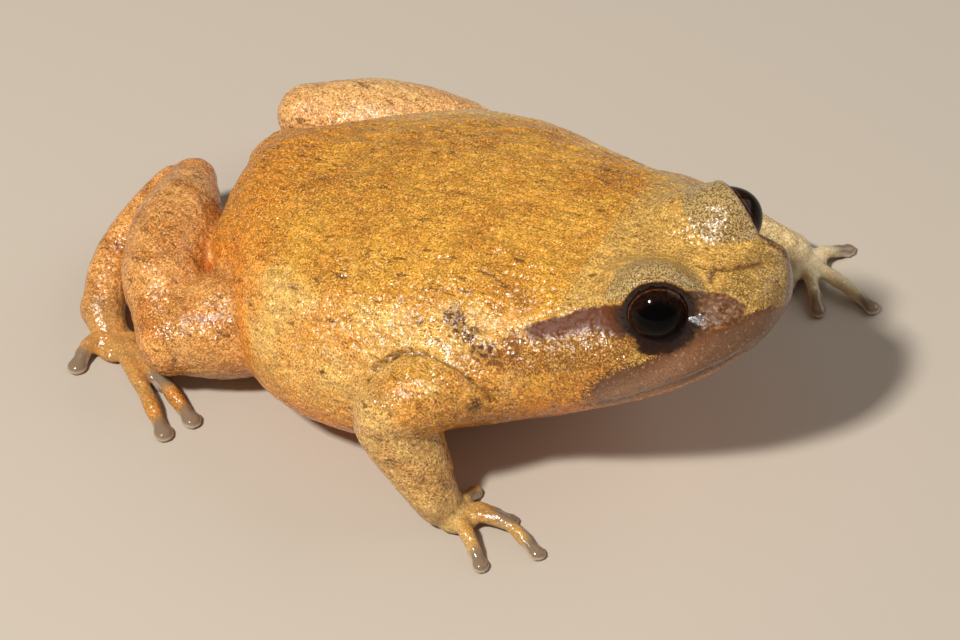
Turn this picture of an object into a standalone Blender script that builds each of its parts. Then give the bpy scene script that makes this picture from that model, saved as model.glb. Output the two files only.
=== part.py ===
"""A small ground frog, life size, standing still with its head raised.

Metres, +Z up. +X is forward (the snout), +Y the animal's left, and the floor is z = 0.
The tables below are in millimetres from a point on the floor under the chest. The part's own
origin is ORIGIN_BACK behind it, in the middle of the belly's small flat.
"""

import math

import bmesh
import bpy
from mathutils import Matrix, Vector

MM = 0.001
ORIGIN_BACK = 6.5  # mm
GAP = 0.3  # between two pieces that meet, mm
SUNK = 0.15  # how far what touches the floor is modelled below it before it is cut flat, mm

# The trunk, snout to vent: x, height of the widest line, half width, rise above it, drop below it,
# how square the section is (2 is an oval), and how far it lies to the left
TRUNK = [
    (16.45, 12.1, 0.0, 0.0, 0.0, 2.2, 0.0),
    (16.15, 12.0, 1.8, 1.3, 1.1, 2.3, 0.0),
    (15.1, 11.5, 3.4, 2.3, 2.0, 2.4, 0.0),
    (13.2, 10.6, 5.1, 3.0, 2.8, 2.5, 0.0),
    (10.3, 9.5, 6.6, 3.8, 3.55, 2.5, 0.0),
    (6.9, 8.2, 7.9, 4.75, 4.05, 2.4, 0.0),
    (2.7, 6.4, 9.2, 6.1, 4.4, 2.3, 0.0),
    (-2.1, 4.8, 11.0, 7.0, 4.7, 2.2, 0.0),
    (-6.8, 4.3, 10.95, 6.5, 4.5, 2.2, -0.15),
    (-10.8, 4.4, 8.9, 5.3, 4.5, 2.3, -0.5),
    (-13.6, 5.0, 5.7, 4.4, 3.7, 2.3, -0.3),
    (-15.5, 5.4, 3.6, 3.0, 2.4, 2.2, 0.0),
    (-16.4, 5.5, 0.0, 0.0, 0.0, 2.0, 0.0),
]
TRUNK_RINGS = 40
TRUNK_SIDES = 48

# Rounded masses that swell the trunk: centre, radii. The left hip and seat lie further back, for that
# thigh is drawn up to the front
MASSES = [
    ((10.8, -2.8, 12.4), (3.3, 2.5, 1.9)),  # brows
    ((10.8, 2.8, 12.4), (3.3, 2.5, 1.9)),
    ((3.2, -6.3, 7.2), (3.2, 3.0, 2.5)),  # shoulders
    ((3.2, 6.3, 7.2), (3.2, 3.0, 2.5)),
    ((-12.7, -3.0, 5.7), (3.2, 3.4, 3.0)),  # hips
    ((-13.6, 3.7, 3.9), (4.0, 3.9, 2.5)),
    ((-14.3, -2.6, 4.5), (2.1, 2.0, 2.1)),  # seat
    ((-15.3, 3.1, 4.5), (2.6, 2.7, 2.5)),
]

# How the joined body is smoothed
VOXEL = 0.32  # mm
SMOOTHING = 10  # passes
BODY_TRIANGLES = 4700

NECK_X = 5.6  # where the head parts from the torso, at mid height
NECK_LEAN = 15.0  # degrees that this cut leans back at the top

# The eyes, right and left. The head leans a little, so the left one lies lower and further forward
EYE_CENTRES = ((11.2, -3.6, 13.05), (11.45, 3.58, 12.9))
EYE_AXIS = (0.52, 0.82, 0.24)  # the way that the left one faces
EYE_RADIUS = 1.75
EYE_GAP = 0.12  # between the eye and its socket
LID_SET_BACK = (-0.1, -0.1, 0.0)  # from the left eye's centre to its lids' centre
LID_RADII = (2.25, 2.25, 2.2)
OPENING_RADIUS = 1.58  # of the round gap between the lids
OPENING_START = 0.7  # from the eye's centre along its axis to the lids' edge

# The mouth line from the front back: x, z
MOUTH = [(19.0, 11.7), (16.9, 11.3), (15.3, 10.85), (13.2, 9.75), (10.3, 8.25), (6.9, 6.9), (2.0, 5.4)]

NOSTRIL = (14.6, 2.5, 13.2)
NOSTRIL_RADIUS = 0.32

# Limbs: x, y, z, half width, half height
UPPER_ARM_RIGHT = [
    (3.4, -7.4, 7.1, 1.9, 1.9),
    (1.1, -9.7, 7.2, 2.1, 2.1),
    (-0.4, -10.8, 6.4, 2.0, 2.0),
]
FOREARM_RIGHT = [
    (-0.4, -10.9, 5.5, 2.0, 2.0),
    (0.6, -10.9, 3.9, 1.95, 1.95),
    (1.8, -11.2, 2.1, 1.5, 1.4),
    (2.5, -11.4, 1.3, 1.3, 1.0),
]
UPPER_ARM_LEFT = [
    (3.2, 6.6, 6.8, 2.3, 2.3),
    (4.2, 9.0, 5.6, 2.2, 2.2),
    (5.0, 10.8, 4.2, 2.0, 2.0),
]
FOREARM_LEFT = [
    (5.0, 11.0, 3.9, 2.0, 2.0),
    (7.2, 12.1, 2.7, 1.75, 1.75),
    (9.2, 13.2, 1.7, 1.25, 1.2),
    (10.2, 13.7, 1.15, 1.1, 0.95),
]
THIGH_RIGHT = [
    (-9.5, -3.2, 4.6, 3.1, 3.1),
    (-12.0, -6.6, 3.65, 3.2, 3.1),
    (-13.8, -8.6, 3.45, 2.65, 2.65),
    (-14.95, -9.85, 3.3, 1.85, 1.95),
]
SHANK_RIGHT = [
    (-15.8, -9.1, 3.7, 1.7, 1.8),
    (-17.3, -6.5, 4.2, 2.5, 2.4),
    (-18.7, -3.1, 4.3, 2.5, 2.4),
    (-20.1, 0.4, 4.1, 1.3, 1.4),
]
TARSUS_RIGHT = [
    (-21.0, -0.2, 3.8, 1.2, 1.2),
    (-21.6, -2.8, 3.0, 1.3, 1.25),
    (-21.7, -5.6, 2.0, 1.25, 1.2),
    (-20.9, -8.0, 1.25, 1.25, 1.0),
]
THIGH_LEFT = [
    (-9.0, 3.2, 4.6, 3.1, 3.1),
    (-8.2, 7.0, 3.9, 3.0, 3.0),
    (-7.2, 10.0, 3.2, 2.6, 2.6),
    (-6.4, 12.2, 2.6, 1.9, 1.9),
]
SHANK_LEFT = [
    (-7.0, 11.6, 2.6, 1.9, 1.9),
    (-10.2, 10.6, 3.5, 2.4, 2.4),
    (-13.8, 9.3, 4.1, 2.45, 2.35),
    (-17.5, 8.1, 3.9, 1.75, 1.8),
]
TARSUS_LEFT = [
    (-17.2, 9.2, 2.6, 1.3, 1.3),
    (-14.6, 11.4, 1.9, 1.35, 1.3),
    (-12.0, 13.0, 1.2, 1.3, 1.0),
]
LIMB_SIDES = 14
LIMB_RINGS = 10

# Hands and feet. Palm: x, y, half length, half width. Digits: x and y of the tip, sideways bow
PALM_HEIGHT = 0.62
HAND_RIGHT = (
    (3.4, -11.2, 1.25, 1.15),
    [(3.3, -9.2, 0), (5.9, -10.0, 0.1), (8.25, -11.25, 0.14), (6.1, -13.35, 0)],
)
HAND_LEFT = (
    (10.9, 13.8, 1.25, 1.15),
    [(10.9, 11.2, 0), (13.1, 11.15, 0), (15.55, 12.7, 0), (12.4, 16.0, 0)],
)
FOOT_RIGHT = (
    (-19.5, -9.2, 1.55, 1.2),
    [
        (-17.3, -8.4, 0),
        (-15.4, -10.4, 0.05),
        (-12.65, -11.9, 0.04),
        (-13.45, -13.4, 0.02),
        (-20.3, -11.5, -0.18),
    ],
)
FOOT_LEFT = (
    (-10.6, 13.7, 1.5, 1.1),
    [(-8.6, 12.2, 0), (-7.0, 13.6, 0), (-4.9, 14.8, 0), (-3.6, 16.2, 0), (-7.4, 16.4, 0)],
)
# Radius of a digit, and its disc's half length, half width and half height
FINGER = (0.39, (0.52, 0.46, 0.35))
TOE = (0.45, (0.62, 0.56, 0.38))
DIGIT_SIDES = 8


def clear_scene():
    for old in list(bpy.data.objects):
        bpy.data.objects.remove(old, do_unlink=True)


def material(name, colour, roughness):
    made = bpy.data.materials.new(name)
    made.use_nodes = True
    shader = made.node_tree.nodes["Principled BSDF"]
    shader.inputs["Base Color"].default_value = (*colour, 1.0)
    shader.inputs["Roughness"].default_value = roughness
    shader.inputs["Metallic"].default_value = 0.0
    return made


def catmull_rom(before, start, end, after, t):
    """The smooth curve from start (t = 0) to end (t = 1), for rows of numbers."""
    return [
        0.5 * (2 * b + (c - a) * t + (2 * a - 5 * b + 4 * c - d) * t**2 + (3 * b - a - 3 * c + d) * t**3)
        for a, b, c, d in zip(before, start, end, after)
    ]


def smooth_rows(rows, count, first=None, last=None):
    """count rows on one smooth curve through the given ones. first and last steer its two ends."""
    first = first or [2 * a - b for a, b in zip(rows[0], rows[1])]
    last = last or [2 * a - b for a, b in zip(rows[-1], rows[-2])]
    padded = [first, *rows, last]
    spans = len(rows) - 1
    made = []
    for i in range(count):
        place = spans * i / (count - 1)
        k = min(int(place), spans - 1)
        made.append(catmull_rom(*padded[k : k + 4], place - k))
    return made


def mirrored(row):
    return (row[0], -row[1], *row[2:])


def section(centre, across, up, half_width, rise, drop, squareness, sides):
    """The points of one closed cross-section, whose upper and lower halves differ in height."""
    points = []
    for i in range(sides):
        angle = 2 * math.pi * i / sides
        c, s = math.cos(angle), math.sin(angle)
        reach = half_width * math.copysign(abs(c) ** (2 / squareness), c)
        height = (rise if s > 0 else drop) * math.copysign(abs(s) ** (2 / squareness), s)
        points.append(centre + across * reach + up * height)
    return points


def mesh_object(name, shape):
    """An object from a bmesh in millimetres, its faces pointing out."""
    bmesh.ops.recalc_face_normals(shape, faces=shape.faces)
    bmesh.ops.translate(shape, vec=(ORIGIN_BACK, 0, 0), verts=shape.verts)
    bmesh.ops.scale(shape, vec=(MM, MM, MM), verts=shape.verts)
    mesh = bpy.data.meshes.new(name)
    shape.to_mesh(mesh)
    shape.free()
    made = bpy.data.objects.new(name, mesh)
    bpy.context.scene.collection.objects.link(made)
    return made


def skinned(sections, start_pole, end_pole):
    """A bmesh over a run of sections, closed at each end to a pole."""
    shape = bmesh.new()
    loops = [[shape.verts.new(p) for p in points] for points in sections]
    sides = len(loops[0])
    for one, two in zip(loops, loops[1:]):
        for i in range(sides):
            j = (i + 1) % sides
            shape.faces.new((one[i], one[j], two[j], two[i]))
    for loop, pole in ((loops[0], start_pole), (loops[-1], end_pole)):
        tip = shape.verts.new(pole)
        for i in range(sides):
            shape.faces.new((loop[i], loop[(i + 1) % sides], tip))
    return shape


def grow(shape, amount):
    """Moves every point of a bmesh out along its normal."""
    if amount:
        bmesh.ops.recalc_face_normals(shape, faces=shape.faces)
        shape.normal_update()
        for v in shape.verts:
            v.co += v.normal * amount


def trunk(name):
    """Head and body in one smooth form, snout to vent."""
    tip, after_tip = TRUNK[0], TRUNK[1]
    vent, before_vent = TRUNK[-1], TRUNK[-2]
    first = [after_tip[0], 2 * tip[1] - after_tip[1], *(-v for v in after_tip[2:5]), *after_tip[5:]]
    last = [before_vent[0], 2 * vent[1] - before_vent[1], *(-v for v in before_vent[2:5]), *before_vent[5:]]
    rows = smooth_rows(TRUNK, TRUNK_RINGS, first, last)
    rings = [
        section(Vector((x, y, z)), Vector((0, 1, 0)), Vector((0, 0, 1)), w, rise, drop, square, TRUNK_SIDES)
        for x, z, w, rise, drop, square, y in rows[1:-1]
    ]
    shape = skinned(rings, (tip[0], 0, tip[1]), (vent[0], 0, vent[1]))
    return mesh_object(name, shape)


def body_form():
    """The trunk with its brows, lids, shoulders and hips run into it, as one smooth closed mesh."""
    body = trunk("body")
    helpers = [ball("mass", centre, radii, 0, 32, 20) for centre, radii in MASSES]
    for eye, set_back in zip(EYE_CENTRES, (mirrored(LID_SET_BACK), LID_SET_BACK)):
        centre = [a + b for a, b in zip(eye, set_back)]
        helpers.append(ball("lid", centre, LID_RADII, 0, 32, 20))
    boolean(body, "UNION", helpers)
    remesh = body.modifiers.new("even", "REMESH")
    remesh.mode = "VOXEL"
    remesh.voxel_size = VOXEL * MM
    smooth = body.modifiers.new("smooth", "SMOOTH")
    smooth.factor = 0.5
    smooth.iterations = SMOOTHING
    apply_modifiers(body)
    fewer = body.modifiers.new("fewer", "DECIMATE")
    triangles = sum(len(face.vertices) - 2 for face in body.data.polygons)
    fewer.ratio = BODY_TRIANGLES / triangles
    apply_modifiers(body)
    return body


def copied(source, name, extra=0.0):
    """A copy of a mesh object, its surface moved out by extra."""
    made = bpy.data.objects.new(name, source.data.copy())
    bpy.context.scene.collection.objects.link(made)
    if extra:
        shape = bmesh.new()
        shape.from_mesh(made.data)
        grow(shape, extra * MM)
        shape.to_mesh(made.data)
        shape.free()
    return made


def limb(name, rows, extra=0.0, sides=LIMB_SIDES, rings=LIMB_RINGS, hint=(0, 0, 1)):
    """A tube of oval section along a smooth line, with round ends."""
    rows = smooth_rows(rows, rings)
    centres = [Vector(r[:3]) for r in rows]
    sections = []
    ends = []
    for i, row in enumerate(rows):
        along = centres[min(i + 1, rings - 1)] - centres[max(i - 1, 0)]
        along.normalize()
        across = along.cross(Vector(hint)).normalized()
        up = across.cross(along)
        place = (centres[i], along, across, up, row[3], row[4])
        sections.append(section(centres[i], across, up, row[3], row[4], row[4], 2, sides))
        if i in (0, rings - 1):
            ends.append(place)
    for which, (centre, along, across, up, wide, high) in enumerate(ends):
        outward = -along if which == 0 else along
        caps = []
        for step in (1, 2):
            angle = step * math.pi / 6
            shrink = math.cos(angle)
            middle = centre + outward * (wide * math.sin(angle))
            caps.append(section(middle, across, up, wide * shrink, high * shrink, high * shrink, 2, sides))
        if which == 0:
            sections = caps[::-1] + sections
            start_pole = centre + outward * wide
        else:
            sections += caps
            end_pole = centre + outward * wide
    shape = skinned(sections, start_pole, end_pole)
    grow(shape, extra)
    return mesh_object(name, shape)


def ball(name, centre, radii, extra=0.0, segments=20, rings=14, turn=None):
    shape = bmesh.new()
    bmesh.ops.create_uvsphere(shape, u_segments=segments, v_segments=rings, radius=1.0)
    size = Matrix.Diagonal([r + extra for r in radii]).to_4x4()
    place = Matrix.Translation(centre) @ (turn or Matrix.Identity(4)) @ size
    bmesh.ops.transform(shape, matrix=place, verts=shape.verts)
    return mesh_object(name, shape)


def prism(name, outline, low_y, high_y):
    """A slab of the given x, z outline, from low_y to high_y."""
    shape = bmesh.new()
    near = [shape.verts.new((x, low_y, z)) for x, z in outline]
    far = [shape.verts.new((x, high_y, z)) for x, z in outline]
    shape.faces.new(near)
    shape.faces.new(far)
    for i in range(len(outline)):
        j = (i + 1) % len(outline)
        shape.faces.new((near[i], near[j], far[j], far[i]))
    return mesh_object(name, shape)


def apply_modifiers(target):
    bpy.context.view_layer.update()
    graph = bpy.context.evaluated_depsgraph_get()
    made = bpy.data.meshes.new_from_object(target.evaluated_get(graph))
    target.modifiers.clear()
    old = target.data
    target.data = made
    bpy.data.meshes.remove(old)


def boolean(target, operation, others, solver="EXACT"):
    """Applies one Boolean between target and a group of helpers, which are then removed."""
    group = bpy.data.collections.new("helpers")
    for other in others:
        group.objects.link(other)
    modifier = target.modifiers.new("join", "BOOLEAN")
    modifier.operation = operation
    modifier.solver = solver
    modifier.operand_type = "COLLECTION"
    modifier.collection = group
    apply_modifiers(target)
    for other in others:
        bpy.data.objects.remove(other, do_unlink=True)
    bpy.data.collections.remove(group)


def keep_largest(target):
    """Drops every loose scrap but the largest closed surface."""
    shape = bmesh.new()
    shape.from_mesh(target.data)
    left = set(shape.verts)
    groups = []
    while left:
        stack = [left.pop()]
        group = set(stack)
        while stack:
            for edge in stack.pop().link_edges:
                for v in edge.verts:
                    if v in left:
                        left.remove(v)
                        group.add(v)
                        stack.append(v)
        groups.append(group)
    groups.sort(key=len)
    drop = [v for group in groups[:-1] for v in group]
    bmesh.ops.delete(shape, geom=drop, context="VERTS")
    shape.to_mesh(target.data)
    shape.free()


FLOOR_OUTLINE = [(-60, -20), (60, -20), (60, 0), (-60, 0)]


def floor_block():
    return prism("floor_block", FLOOR_OUTLINE, -60, 60)


def neck_block(in_front, shift):
    """All that lies in front of, or behind, the leaning cut at the neck."""
    lean = math.tan(math.radians(NECK_LEAN))
    top, bottom = 25, -10
    high = NECK_X - lean * (top - 8) + shift
    low = NECK_X - lean * (bottom - 8) + shift
    end = 40 if in_front else -40
    return prism("neck_block", [(high, top), (low, bottom), (end, bottom), (end, top)], -30, 30)


def mouth_block(above, shift):
    line = [(x, z + shift) for x, z in MOUTH]
    end = 30 if above else -10
    return prism("mouth_block", [*line, (line[-1][0], end), (line[0][0], end)], -30, 30)


def finish(target, skin):
    keep_largest(target)
    target.data.materials.clear()
    target.data.materials.append(skin)
    target.data.shade_smooth()


def rod(name, start, end, radius, sides=24):
    """A plain cylinder from start to end."""
    start, end = Vector(start), Vector(end)
    along = end - start
    shape = bmesh.new()
    bmesh.ops.create_cone(
        shape, cap_ends=True, segments=sides, radius1=radius, radius2=radius, depth=along.length
    )
    turn = Vector((0, 0, 1)).rotation_difference(along).to_matrix().to_4x4()
    bmesh.ops.transform(shape, matrix=Matrix.Translation((start + end) / 2) @ turn, verts=shape.verts)
    return mesh_object(name, shape)


def digit(name, palm, tip, bow, size):
    """A finger or toe from inside the palm to its disc, which rests on the floor."""
    r, disc_radii = size
    root = Vector((palm[0], palm[1], 0.7))
    tip = Vector((*tip, disc_radii[2] - SUNK))
    sideways = (tip - root).cross(Vector((0, 0, 1))) * -bow
    middle = (root + tip) / 2 + sideways + Vector((0, 0, 0.25))
    rows = [
        (*root, r * 1.3, r * 1.15),
        (*middle, r, r),
        (*tip, r * 0.85, r * 0.75),
    ]
    finger = limb(name, rows, sides=DIGIT_SIDES, rings=5)
    heading = math.atan2(tip.y - middle.y, tip.x - middle.x)
    disc = ball(name + "_disc", tip, disc_radii, 0, 8, 6, Matrix.Rotation(heading, 4, "Z"))
    return [finger, disc]


def paw(name, wrist, shape, size):
    """A hand or foot: a flat oval palm joined to the limb's end, and digits fanned from it."""
    (x, y, half_length, half_width), tips = shape
    heading = math.atan2(y - wrist[1], x - wrist[0])
    turn = Matrix.Rotation(heading, 4, "Z")
    radii = (half_length, half_width, PALM_HEIGHT)
    palm = ball(name, (x, y, PALM_HEIGHT - SUNK), radii, 0, 16, 10, turn)
    stem = limb("stem", [wrist, (x, y, PALM_HEIGHT, half_width * 0.7, PALM_HEIGHT * 0.7)], rings=4)
    pieces = [palm, stem]
    for i, (tip_x, tip_y, bow) in enumerate(tips):
        pieces += digit(f"{name}_{i}", (x, y), (tip_x, tip_y), bow, size)
    return pieces


def build():
    """Makes every node, each cut clear of the ones before it that it would meet."""
    clear_scene()
    skin = material("skin", (0.78, 0.48, 0.16), 0.35)
    eye = material("eye", (0.02, 0.015, 0.01), 0.05)
    eye_place = dict(zip(("right", "left"), EYE_CENTRES))
    eye_axis = {"right": mirrored(EYE_AXIS), "left": EYE_AXIS}
    nostril_place = {"right": mirrored(NOSTRIL), "left": NOSTRIL}
    limbs = {
        "upper_arm_right": UPPER_ARM_RIGHT,
        "upper_arm_left": UPPER_ARM_LEFT,
        "forearm_right": FOREARM_RIGHT,
        "forearm_left": FOREARM_LEFT,
        "thigh_right": THIGH_RIGHT,
        "thigh_left": THIGH_LEFT,
        "shank_right": SHANK_RIGHT,
        "shank_left": SHANK_LEFT,
        "tarsus_right": TARSUS_RIGHT,
        "tarsus_left": TARSUS_LEFT,
    }
    body = body_form()
    torso = copied(body, "torso")
    boolean(torso, "DIFFERENCE", [neck_block(True, 0), floor_block()])
    finish(torso, skin)

    head = copied(body, "head")
    cutters = [neck_block(False, GAP), mouth_block(False, 0)]
    for side in ("right", "left"):
        centre, axis = Vector(eye_place[side]), Vector(eye_axis[side]).normalized()
        cutters.append(ball("socket", centre, [EYE_RADIUS + EYE_GAP] * 3, 0, 24, 16))
        cutters.append(rod("opening", centre + axis * OPENING_START, centre + axis * 4, OPENING_RADIUS))
        cutters.append(ball("pit", nostril_place[side], [NOSTRIL_RADIUS] * 3, 0, 10, 8))
    boolean(head, "DIFFERENCE", cutters)
    finish(head, skin)

    jaw = copied(body, "lower_jaw")
    boolean(jaw, "DIFFERENCE", [neck_block(False, GAP), mouth_block(True, -GAP)])
    finish(jaw, skin)

    for side in ("right", "left"):
        ball_of_eye = ball("eye_" + side, eye_place[side], [EYE_RADIUS] * 3, 0, 20, 12)
        finish(ball_of_eye, eye)

    order = {
        "upper_arm": ["trunk"],
        "forearm": ["trunk", "upper_arm"],
        "thigh": ["trunk"],
        "shank": ["trunk", "thigh"],
        "tarsus": ["trunk", "thigh", "shank"],
    }
    for side in ("right", "left"):
        for part, earlier in order.items():
            name = f"{part}_{side}"
            made = limb(name, limbs[name])
            cutters = [floor_block()]
            for other in earlier:
                if other == "trunk":
                    cutters.append(copied(body, "cutter", GAP))
                else:
                    cutters.append(limb("cutter", limbs[f"{other}_{side}"], GAP))
            boolean(made, "DIFFERENCE", cutters)
            finish(made, skin)

    paws = {
        "hand_right": (HAND_RIGHT, FINGER, ["forearm_right", "upper_arm_right"]),
        "hand_left": (HAND_LEFT, FINGER, ["forearm_left"]),
        "foot_right": (FOOT_RIGHT, TOE, ["tarsus_right", "thigh_right", "shank_right"]),
        "foot_left": (FOOT_LEFT, TOE, ["tarsus_left", "thigh_left", "shank_left"]),
    }
    for name, (shape, size, earlier) in paws.items():
        pieces = paw(name, limbs[earlier[0]][-1], shape, size)
        made = pieces[0]
        boolean(made, "UNION", pieces[1:])
        cutters = [limb("cutter", limbs[other], GAP) for other in earlier]
        if name == "foot_left":
            cutters.append(copied(body, "cutter", GAP))
        boolean(made, "DIFFERENCE", cutters, "MANIFOLD")
        boolean(made, "DIFFERENCE", [floor_block()], "MANIFOLD")
        finish(made, skin)
    bpy.data.objects.remove(body, do_unlink=True)


build()
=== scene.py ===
"""The looks of a small ground frog, life size: one skin over its solids, and two eyes.

+X is the way that the snout points, +Y the animal's left, and the floor is z = 0. The tables are
in millimetres from a point on the floor under the chest. The part's own origin is ORIGIN_BACK
behind it, and every mesh is turned into metres from there when it is made.
"""

import math

import bmesh
import bpy
import numpy as np
from mathutils import Matrix, Vector


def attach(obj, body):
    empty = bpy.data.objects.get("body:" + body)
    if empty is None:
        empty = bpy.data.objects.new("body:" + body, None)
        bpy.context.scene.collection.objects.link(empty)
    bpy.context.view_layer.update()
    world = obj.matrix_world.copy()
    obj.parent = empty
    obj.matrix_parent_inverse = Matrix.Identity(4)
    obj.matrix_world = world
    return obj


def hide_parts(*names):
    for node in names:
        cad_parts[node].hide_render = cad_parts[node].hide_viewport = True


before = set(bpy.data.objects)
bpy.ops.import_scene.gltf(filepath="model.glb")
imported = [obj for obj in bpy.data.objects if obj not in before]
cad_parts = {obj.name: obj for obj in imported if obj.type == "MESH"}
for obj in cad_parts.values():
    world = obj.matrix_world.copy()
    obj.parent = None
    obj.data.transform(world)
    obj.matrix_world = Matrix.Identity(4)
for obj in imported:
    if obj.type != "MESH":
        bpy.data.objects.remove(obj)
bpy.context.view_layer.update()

MM = 0.001
ORIGIN_BACK = 6.5  # mm
SUNK = 0.15  # how far the paws are modelled below the floor before they are laid flat on it

# The trunk, snout to vent: x, height of the widest line, half width, rise above it, drop below it,
# how square the section is (2 is an oval), and how far it lies to the left
TRUNK = [
    (16.45, 12.1, 0.0, 0.0, 0.0, 2.2, 0.0),
    (16.15, 12.0, 1.8, 1.3, 1.1, 2.3, 0.0),
    (15.1, 11.5, 3.4, 2.3, 2.0, 2.4, 0.0),
    (13.2, 10.6, 5.1, 3.0, 2.8, 2.5, 0.0),
    (10.3, 9.5, 6.6, 3.8, 3.55, 2.5, 0.0),
    (6.9, 8.2, 7.9, 4.75, 4.05, 2.4, 0.0),
    (2.7, 6.4, 9.2, 6.1, 4.4, 2.3, 0.0),
    (-2.1, 4.8, 11.0, 7.0, 4.7, 2.2, 0.0),
    (-6.8, 4.3, 10.95, 6.5, 4.5, 2.2, -0.15),
    (-10.8, 4.4, 8.9, 5.3, 4.5, 2.3, -0.5),
    (-13.6, 5.0, 5.7, 4.4, 3.7, 2.3, -0.3),
    (-15.5, 5.4, 3.6, 3.0, 2.4, 2.2, 0.0),
    (-16.4, 5.5, 0.0, 0.0, 0.0, 2.0, 0.0),
]
TRUNK_RINGS = 80
TRUNK_SIDES = 96

# Rounded masses that swell the trunk: centre, radii. The left hip and seat lie further back, for that
# thigh is drawn up to the front
MASSES = [
    ((10.8, -2.8, 12.4), (3.3, 2.5, 1.9)),  # brows
    ((10.8, 2.8, 12.4), (3.3, 2.5, 1.9)),
    ((3.2, -6.3, 7.2), (3.2, 3.0, 2.5)),  # shoulders
    ((3.2, 6.3, 7.2), (3.2, 3.0, 2.5)),
    ((-12.7, -3.0, 5.7), (3.2, 3.4, 3.0)),  # hips
    ((-13.6, 3.7, 3.9), (4.0, 3.9, 2.5)),
    ((-14.3, -2.6, 4.5), (2.1, 2.0, 2.1)),  # seat
    ((-15.3, 3.1, 4.5), (2.6, 2.7, 2.5)),
]

# The eyes, right and left. The head leans a little, so the left one lies lower and further forward
EYE_CENTRES = ((11.2, -3.6, 13.05), (11.45, 3.58, 12.9))
EYE_AXIS = (0.52, 0.82, 0.24)  # the way that the left one faces
EYE_RADIUS = 1.75
CORNEA_RISE = 0.1
LID_SET_BACK = (-0.1, -0.1, 0.0)  # from the left eye's centre to its lids' centre
LID_RADII = (2.25, 2.25, 2.2)
OPENING = 62.0  # degrees from the eye's axis to the edge of the lids
LID_STAND = 0.14  # how far the lids' edge stands out from the ball

# The mouth line from the front back: x, z
MOUTH = [(19.0, 11.7), (16.9, 11.3), (15.3, 10.85), (13.2, 9.75), (10.3, 8.25), (6.9, 6.9), (2.0, 5.4)]
MOUTH_CORNER = 7.6
NOSTRIL = (14.6, 2.5, 13.2)

# The head's markings, as seen from the trunk's middle line: x, degrees above level. The stripe's two
# edges, and the upper edge of the pale lip
STRIPE_TOP = [
    (4.6, 29), (5.4, 31), (6.8, 34), (7.9, 38), (8.9, 40), (9.9, 41),
    (11.2, 44), (12.6, 51), (13.2, 54), (14.0, 55), (14.7, 52), (15.5, 42),
]
STRIPE_FOOT = [
    (4.6, 27), (5.6, 27), (7.3, 28), (8.1, 30), (8.9, 30), (9.5, 28),
    (10.1, 27), (12.6, 27), (13.0, 22), (13.9, 23), (14.6, 26), (15.5, 30),
]
LIP_TOP = [
    (8.4, -4), (8.8, 0), (9.4, 4), (10.0, 7), (10.8, 10), (12.0, 12), (12.6, 15),
    (13.2, 20), (13.9, 23), (14.6, 26), (15.4, 31), (15.8, 38), (16.4, 44),
]
LEFT_STRIPE_LOWER = 10.0  # degrees, for the left stripe away from the eye

# Creases across the snout and over the right arm's root, and the ridge along the left lip's top
SNOUT_CREASE = [
    (13.1, -1.4, 13.55), (12.85, -0.5, 13.55), (13.4, -0.3, 13.6),
    (14.0, 0.15, 13.7), (14.8, 0.85, 13.7),
]
ARM_FOLD = [
    (-1.6, -11.0, 7.9), (-1.7, -10.0, 8.0), (-1.2, -9.6, 8.5),
    (-0.5, -9.2, 8.9), (0.7, -8.9, 9.1), (2.1, -9.05, 9.1),
    (3.0, -9.0, 8.7), (4.0, -8.9, 8.2), (4.7, -8.9, 7.6),
]
LIP_RIDGE = [
    (12.9, 4.9, 12.0), (13.4, 4.5, 12.25), (13.9, 4.05, 12.45),
    (14.5, 3.5, 12.6), (15.2, 2.75, 12.8),
]
EAR_DRUM = (8.9, 6.5, 11.2)
EYE_FRONT = (13.45, 3.75, 13.2)  # the dull corner in front of the left eye

# Small forms raised from the skin or pressed into it: height, where it peaks, width. The lips' peaks are
# measured from the mouth line, square to the jaw, and the others' from a line of places that comes last
JAW_SLOPE = 24.0  # degrees
LIP_FORMS = [(-0.05, 0.0, 0.11), (0.07, 0.42, 0.28), (0.04, -0.40, 0.25)]
HEAD_FORMS = [
    (0.12, 0.40, 0.18, [NOSTRIL]),
    (-0.40, 0.0, 0.20, [NOSTRIL]),
    (0.14, 0.0, 0.6, [(13.2, 2.9, 13.7), (14.3, 2.2, 13.6)]),  # from eye to nostril
    (-0.20, 0.0, 0.7, [(13.6, 4.0, 12.9)]),  # the hollow below it
    (0.12, 0.0, 0.32, LIP_RIDGE),
    (0.16, 0.0, 1.6, [(7.2, 7.9, 8.6)]),  # the jaw's corner
    (0.14, 0.0, 0.7, [EAR_DRUM]),
]
CREASES = [
    (0.05, 0.28, 0.12, SNOUT_CREASE),
    (-0.13, 0.0, 0.13, SNOUT_CREASE),
    (0.06, 0.40, 0.25, ARM_FOLD),
    (-0.18, 0.0, 0.15, ARM_FOLD),
]
# The lids' folds: height, degrees past the opening, width
LID_FOLDS = [(0.05, 7.0, 4.0), (-0.10, 18.0, 4.0)]
LID_EDGE = 2.5  # degrees to each side of the opening in which the skin turns in
LID_TUCK = 0.35  # how far it goes in under the ball's surface
LID_DOME = 16.0  # degrees past the opening at which the lid has its full height
LID_END = (22.0, 34.0)  # degrees past the opening over which its shaping fades out
LID_REACH = (3.0, 3.6)  # from the eye's centre, the same

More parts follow.
